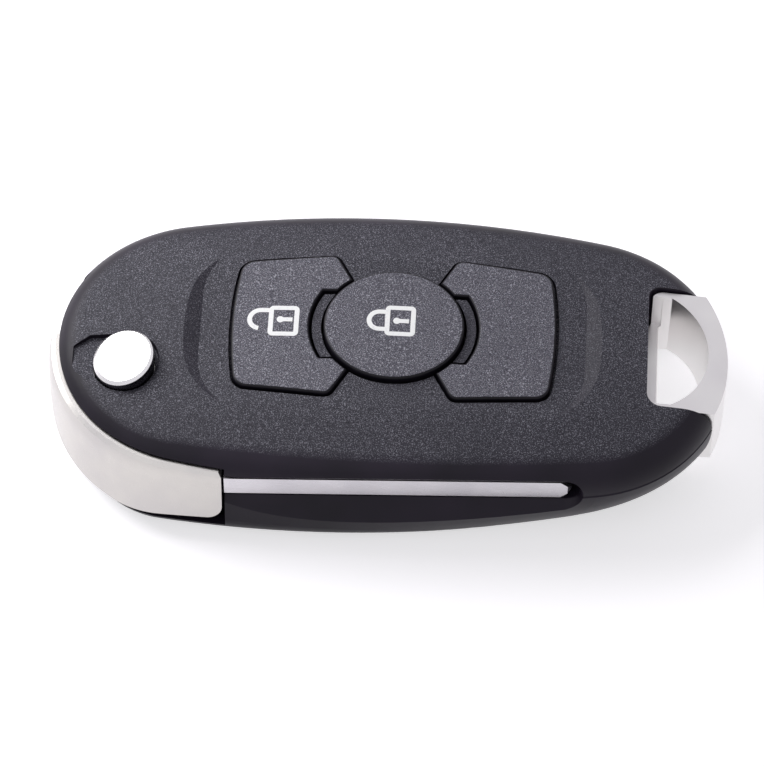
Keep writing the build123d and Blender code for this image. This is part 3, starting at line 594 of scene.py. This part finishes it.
@dataclass
class Electronics(SubAssembly):
    """Board, switches, chip, crystal, immobiliser coil and coin cell inside the covers."""

    title: str = "electronics"

    def dress(self) -> None:
        """Each inner piece gets the finish of its own material."""
        self.coat(BoardLaminate("board_lacquer"), "circuit_board")
        self.coat(MouldedPlastic("switch_body", "#2B2B2E", "#38383C"), "switch_unlock",
                  "switch_lock", "switch_blank")
        self.coat(MouldedPlastic("chip_epoxy", "#17171A", "#222226", 0.5), "controller_chip")
        self.coat(Metal("crystal_shell", "#B8B8BA", "#D0D0D2", 0.25, 0.05, 0.08 * MM,
                        (20, 1, 1)), "radio_crystal")
        self.coat(WoundCopper("coil_wire"), "transponder_coil")
        self.coat(Metal("cell_can", "#B9B9BC", "#D3D3D6", 0.28, 0.06, 0.06 * MM,
                        (12, 1, 1)), "coin_cell")
        self.coat(Metal("clip_nickel", "#B5B2A8", "#CFCCC2", 0.33, 0.08),
                  "battery_clip_positive", "battery_clip_negative")


class Shackle(Enum):
    """How far a padlock's shackle goes round, in degrees from +X."""

    CLOSED = 270.0
    OPEN = 262.0


@dataclass
class PadlockPrint:
    """Padlock symbol lying on its side, shackle towards the head of the fob.

    It is three strokes: the frame of the lock's body, the shackle and the keyhole. Each is a
    flat ribbon that is laid on the button's crowned top and closed into a thin plate.
    """

    name: str
    button: bpy.types.Object
    body: str
    shackle: Shackle
    centre_x: float
    centre_y: float
    width: float = 3.5 * MM
    height: float = 4.1 * MM
    line: float = 0.56 * MM
    shackle_reach: float = 2.45 * MM
    shackle_half: float = 1.18 * MM
    shackle_offset: float = 0.12 * MM
    lobe_x: float = -0.4 * MM
    lobe_radius: float = 0.42 * MM
    bar_end: float = 1.0 * MM
    bar_half: float = 0.27 * MM
    tip_half: float = 0.02 * MM
    sink: float = 0.02 * MM
    thickness: float = 0.05 * MM
    level_face: float = 0.995
    top_depth: float = 1 * MM
    steps: int = 24
    corner_steps: int = 8
    across: int = 5

    def stroke(self, path: np.ndarray, side: np.ndarray, half: np.ndarray,
               closed: bool) -> tuple[np.ndarray, np.ndarray]:
        """Ribbon carried along a path, as the walls of a thin plate.

        A point of the grid is the path's point plus the side direction times a share of the
        half width. The shares run from -1 to 1 along the upper skin and back along the lower.

        Args:
            path: The middle line, one XY point a row.
            side: The sideways direction at each point.
            half: The half width at each point.
            closed: Whether the path comes back to its start.

        Returns:
            The points as X, Y and level (1 upper, 0 lower), and the faces.
        """
        share = np.linspace(-1, 1, self.across)
        share = np.concatenate([share, share[::-1]])
        level = np.repeat([1.0, 0.0], self.across)
        flat = path[:, None, :] + side[:, None, :] * (half[:, None] * share)[..., None]
        levels = np.broadcast_to(level[None, :, None], (*flat.shape[:2], 1))
        points = np.concatenate([flat, levels], -1)
        rows, columns = points.shape[:2]
        index = np.arange(rows * columns).reshape(rows, columns)
        round_index = np.hstack([index, index[:, :1]])
        if closed:
            round_index = np.vstack([round_index, round_index[:1]])
        quads = [np.stack([round_index[:-1, :-1], round_index[1:, :-1], round_index[1:, 1:],
                           round_index[:-1, 1:]], -1).reshape(-1, 4)]
        if not closed:
            for row, order in ((index[0], 1), (index[-1], -1)):
                upper, lower = row[:self.across], row[self.across:][::-1]
                cap = np.stack([upper[:-1], upper[1:], lower[1:], lower[:-1]], -1)
                quads.append(cap[:, ::order])
        return points.reshape(-1, 3), np.concatenate(quads)

    def frame_stroke(self) -> tuple[np.ndarray, np.ndarray]:
        """Body of the lock: a rectangle whose outer corners are quarter circles.

        Each corner is an arc about its own centre, and the runs between them are straight.

        Returns:
            The points and the faces.
        """
        radius = self.line / 2
        turn = np.linspace(0, math.pi / 2, self.corner_steps)
        angle = (np.arange(4)[:, None] * math.pi / 2 + turn).ravel()
        side = np.stack([np.cos(angle), np.sin(angle)], -1)
        corner = np.array([[1, 1], [-1, 1], [-1, -1], [1, -1]])
        reach = np.array([self.width, self.height]) / 2 - 2 * radius
        path = np.repeat(corner * reach, len(turn), axis=0) + radius * side
        return self.stroke(path, side, np.full(len(path), self.line / 2), True)

    def shackle_stroke(self) -> tuple[np.ndarray, np.ndarray]:
        """Shackle: a straight leg out of the body, a half ellipse, and a leg back.

        The open shackle has no second leg, and its end stands free.

        Returns:
            The points and the faces.
        """
        half_line = self.line / 2
        root = -self.width / 2 + half_line
        bend_x = -self.width / 2 - self.shackle_reach + self.shackle_half + half_line
        angle = np.radians(np.linspace(90, self.shackle.value, self.steps))
        bend = np.stack([bend_x + self.shackle_half * np.cos(angle),
                         self.shackle_offset + self.shackle_half * np.sin(angle)], -1)
        side = np.stack([np.cos(angle), np.sin(angle)], -1)
        path = np.vstack([[[root, bend[0, 1]]], bend])
        side = np.vstack([side[:1], side])
        if self.shackle is Shackle.CLOSED:
            path = np.vstack([path, [[root, bend[-1, 1]]]])
            side = np.vstack([side, side[-1:]])
        return self.stroke(path, side, np.full(len(path), half_line), False)

    def keyhole_stroke(self) -> tuple[np.ndarray, np.ndarray]:
        """Keyhole: a round lobe that runs on as a bar.

        The half width at x is the circle's, root of (radius squared less distance squared),
        or past the lobe's middle the larger of that and the bar's.

        Returns:
            The points and the faces.
        """
        start = self.lobe_x - self.lobe_radius
        x = np.linspace(start, self.bar_end, self.steps)
        circle = np.sqrt(np.clip(self.lobe_radius ** 2 - (x - self.lobe_x) ** 2, 0, None))
        half = np.where(x > self.lobe_x, np.maximum(circle, self.bar_half), circle)
        half = np.maximum(half, self.tip_half)
        path = np.stack([x, np.full_like(x, self.shackle_offset)], -1)
        side = np.broadcast_to([0.0, -1.0], path.shape)
        return self.stroke(path, side, half, False)

    def crowned_top(self) -> np.ndarray:
        """Surface of the button's top, as a least-squares fit to its level faces.

        Returns:
            The six factors of 1, x, y, x squared, xy and y squared that give the height.
            Each face counts by its area, so the large faces of the crown decide.
        """
        faces = self.button.data.polygons
        centres, normals = np.empty((2, len(faces) * 3), np.float32)
        areas = np.empty(len(faces), np.float32)
        faces.foreach_get("center", centres)
        faces.foreach_get("normal", normals)
        faces.foreach_get("area", areas)
        centres, rise = centres.reshape(-1, 3).astype(float), normals.reshape(-1, 3)[:, 2]
        floor = centres[:, 2].max() - self.top_depth
        level = (rise > self.level_face) & (centres[:, 2] > floor)
        top, weight = centres[level], np.sqrt(areas[level].astype(float))
        factors = np.linalg.lstsq(self.powers(top) * weight[:, None], top[:, 2] * weight,
                                  rcond=None)[0]
        miss = np.abs(self.powers(top) @ factors - top[:, 2])
        log.info("%s: top fitted to %.4f mm", self.name, miss.max() / MM)
        return factors

    @staticmethod
    def powers(points: np.ndarray) -> np.ndarray:
        """Powers of the points' places.

        Args:
            points: The points, one a row.

        Returns:
            Columns of 1, x, y, x squared, xy and y squared.
        """
        x, y = points[:, 0], points[:, 1]
        return np.stack([np.ones_like(x), x, y, x * x, x * y, y * y], -1)

    def build(self, finish: PrintInk) -> bpy.types.Object:
        """Makes the print and seats it on its button.

        Args:
            finish: The ink.

        Returns:
            The print, riding on the button's body.
        """
        parts = [self.frame_stroke(), self.shackle_stroke(), self.keyhole_stroke()]
        starts = np.cumsum([0] + [len(points) for points, _ in parts[:-1]])
        points = np.vstack([points for points, _ in parts])
        quads = np.vstack([faces + start for (_, faces), start in zip(parts, starts)])
        points[:, 0] += self.centre_x
        points[:, 1] += self.centre_y
        height = self.powers(points) @ self.crowned_top()
        points[:, 2] = height - self.sink + points[:, 2] * self.thickness
        mesh = bpy.data.meshes.new(self.name)
        mesh.from_pydata(points.tolist(), [], quads.tolist())
        mesh.materials.append(finish.make())
        mesh.update()
        piece = bpy.data.objects.new(self.name, mesh)
        bpy.context.scene.collection.objects.link(piece)
        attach(piece, self.body)
        log.info("%s: %d faces on %s", self.name, len(mesh.polygons), self.button.name)
        return piece


@dataclass
class Keypad(SubAssembly):
    """Three buttons, the frame and mat that carry them, and the symbols on two of them."""

    title: str = "keypad"
    unlock_x: float = -11.95 * MM
    unlock_y: float = 1.02 * MM
    lock_x: float = 1.4 * MM
    lock_y: float = 1.27 * MM

    def dress(self) -> None:
        """Eroded plastic for the buttons, plain plastic and rubber below them."""
        # The buttons' near-black steep faces are painted shade, for the shade in the gaps round
        # them.
        grain = ErodedPlastic("button_grain", painted_pit_shade="#312F37", grain="#66656F", painted_glint="#B4B3BD",
                              smooth_and_shade="#0C0A10", smooth_and_shade_pale="#131018", steep=0.93, level=0.985)
        self.coat(grain, "unlock_button", "lock_button", "blank_button")
        self.coat(ErodedPlastic("frame_grain", painted_pit_shade="#232228", grain="#403F47",
                                painted_glint="#7E7D87"), "keypad_frame")
        self.coat(MouldedPlastic("mat_silicone", "#26262A", "#303036", 0.6), "keypad_mat")

    def build(self) -> list[bpy.types.Object]:
        """Prints the symbols.

        Returns:
            The unlock print and the lock print.
        """
        nodes = self.frame["nodes"]
        prints = (
            PadlockPrint("unlock_symbol", nodes["unlock_button"], "unlock_button",
                         Shackle.OPEN, self.unlock_x, self.unlock_y,
                         shackle_half=1.24 * MM, shackle_offset=0.2 * MM),
            PadlockPrint("lock_symbol", nodes["lock_button"], "lock_button",
                         Shackle.CLOSED, self.lock_x, self.lock_y,
                         shackle_reach=2.1 * MM, shackle_offset=0.0),
        )
        return [symbol.build(PrintInk(f"{symbol.name}_ink")) for symbol in prints]


@dataclass
class Lamp:
    """Square soft box aimed at the fob."""

    name: str
    azimuth: float
    elevation: float
    power: float
    side: float
    distance: float = 0.7

    def build(self) -> None:
        """Puts the lamp on its bearing, looking back along it."""
        data = bpy.data.lights.new(self.name, "AREA")
        data.shape = "SQUARE"
        data.size = self.side
        data.energy = self.power
        lamp = bpy.data.objects.new(self.name, data)
        bpy.context.scene.collection.objects.link(lamp)
        lamp.matrix_world = looking(self.azimuth, self.elevation, self.distance, (0, 0, 0))


def looking(azimuth: float, elevation: float, distance: float, target: Triple) -> Matrix:
    """Place of something that looks at a point.

    Its local Z is the direction from the point to it, its X is level, and its Y is Z cross X.

    Args:
        azimuth: Degrees it stands off the -Y side, towards +X.
        elevation: Degrees above the floor.
        distance: Its distance from the point.
        target: The point.

    Returns:
        The world matrix.
    """
    turn, rise = math.radians(azimuth), math.radians(elevation)
    back = np.array([math.sin(turn) * math.cos(rise), -math.cos(turn) * math.cos(rise),
                     math.sin(rise)])
    right = np.array([math.cos(turn), math.sin(turn), 0.0])
    place = np.eye(4)
    place[:3, 0] = right
    place[:3, 1] = np.cross(back, right)
    place[:3, 2] = back
    place[:3, 3] = np.array(target) + back * distance
    return Matrix(place.tolist())


@dataclass
class Studio:
    """Pale floor, white surroundings, soft lamps and the camera."""

    azimuth: float = 3.0
    elevation: float = 57.0
    distance: float = 520 * MM
    pixels_per_metre: float = 8680.0
    target: Triple = (-0.5 * MM, -2.4 * MM, 8 * MM)
    near_clip: float = 0.01
    far_clip: float = 20.0
    floor_side: float = 6.0
    floor_tone: str = "#E9E6EC"
    floor_bounce: str = "#8E8C92"
    floor_lift: float = 0.6
    surround: str = "#F1F0F6"
    surround_light: float = 0.3

    def seen(self, nodes: bpy.types.Nodes, links: bpy.types.NodeLinks) -> Socket:
        """1 for camera, glossy and transmission rays, else 0.

        Args:
            nodes: The tree's nodes.
            links: The tree's links.

        Returns:
            The value.
        """
        path = nodes.new("ShaderNodeLightPath")
        total = path.outputs["Is Camera Ray"]
        for ray in ("Is Glossy Ray", "Is Transmission Ray"):
            joint = nodes.new("ShaderNodeMath")
            joint.operation = "MAXIMUM"
            links.new(total, joint.inputs[0])
            links.new(path.outputs[ray], joint.inputs[1])
            total = joint.outputs[0]
        return total

    def build_world(self) -> None:
        """White to the camera and in reflections, a softer grey as a source of light."""
        world = bpy.data.worlds.new("surround")
        world.use_nodes = True
        bpy.context.scene.world = world
        nodes, links = world.node_tree.nodes, world.node_tree.links
        background = nodes["Background"]
        background.inputs["Color"].default_value = linear(self.surround)
        level = nodes.new("ShaderNodeMapRange")
        level.inputs["To Min"].default_value = self.surround_light
        level.inputs["To Max"].default_value = 1.0
        links.new(self.seen(nodes, links), level.inputs["Value"])
        links.new(level.outputs["Result"], background.inputs["Strength"])

    def build_floor(self) -> None:
        """A level sheet that is white to the camera and keeps the fob's shadow."""
        half = self.floor_side / 2
        mesh = bpy.data.meshes.new("floor")
        mesh.from_pydata([(-half, -half, 0), (half, -half, 0), (half, half, 0),
                          (-half, half, 0)], [], [(0, 1, 2, 3)])
        floor = bpy.data.objects.new("floor", mesh)
        bpy.context.scene.collection.objects.link(floor)
        mesh.materials.append(self.floor_material())

    def floor_material(self) -> bpy.types.Material:
        """Matt sheet; what the camera sees gets a lift, what only lights the fob doesn't.

        Returns:
            The floor's material.
        """
        material = bpy.data.materials.new("floor_sheet")
        material.use_nodes = True
        nodes, links = material.node_tree.nodes, material.node_tree.links
        nodes.remove(nodes["Principled BSDF"])
        tone = nodes.new("ShaderNodeBsdfDiffuse")
        tone.inputs["Color"].default_value = linear(self.floor_tone)
        bounce = nodes.new("ShaderNodeBsdfDiffuse")
        bounce.inputs["Color"].default_value = linear(self.floor_bounce)
        lift = nodes.new("ShaderNodeEmission")
        lift.inputs["Strength"].default_value = self.floor_lift
        bright = nodes.new("ShaderNodeAddShader")
        links.new(tone.outputs[0], bright.inputs[0])
        links.new(lift.outputs[0], bright.inputs[1])
        choice = nodes.new("ShaderNodeMixShader")
        links.new(self.seen(nodes, links), choice.inputs[0])
        links.new(bounce.outputs[0], choice.inputs[1])
        links.new(bright.outputs[0], choice.inputs[2])
        links.new(choice.outputs[0], nodes["Material Output"].inputs["Surface"])
        return material

    def build_camera(self) -> None:
        """The photograph's view: its lens gives so many pixels to a metre at the target."""
        data = bpy.data.cameras.new("camera")
        data.sensor_fit = "HORIZONTAL"
        data.sensor_width = SENSOR_WIDTH
        data.lens = self.pixels_per_metre * self.distance / PHOTO_WIDTH * SENSOR_WIDTH
        data.clip_start = self.near_clip
        data.clip_end = self.far_clip
        camera = bpy.data.objects.new("camera", data)
        camera.matrix_world = looking(self.azimuth, self.elevation, self.distance, self.target)
        bpy.context.scene.collection.objects.link(camera)
        bpy.context.scene.camera = camera

    def build(self) -> None:
        """Builds the whole studio."""
        self.build_world()
        self.build_floor()
        Lamp("key_lamp", azimuth=-122, elevation=38, power=0.66, side=0.18, distance=0.26).build()
        Lamp("fill_lamp", azimuth=-40, elevation=55, power=0.35, side=0.6).build()
        self.build_camera()
        bpy.context.scene.view_settings.view_transform = "Standard"
        log.info("studio: camera at azimuth %.0f, elevation %.0f", self.azimuth, self.elevation)


def main() -> None:
    """Loads the frame, dresses every sub-assembly, prints the symbols and sets the studio."""
    logging.basicConfig(level=logging.INFO, format="%(name)s %(message)s")
    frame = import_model()
    for assembly in (Housing(frame), KeyRingBow(frame), FlipKey(frame), Release(frame),
                     Electronics(frame)):
        assembly.dress()
    keypad = Keypad(frame)
    keypad.dress()
    keypad.build()
    Studio().build()


if __name__ == "__main__":
    main()
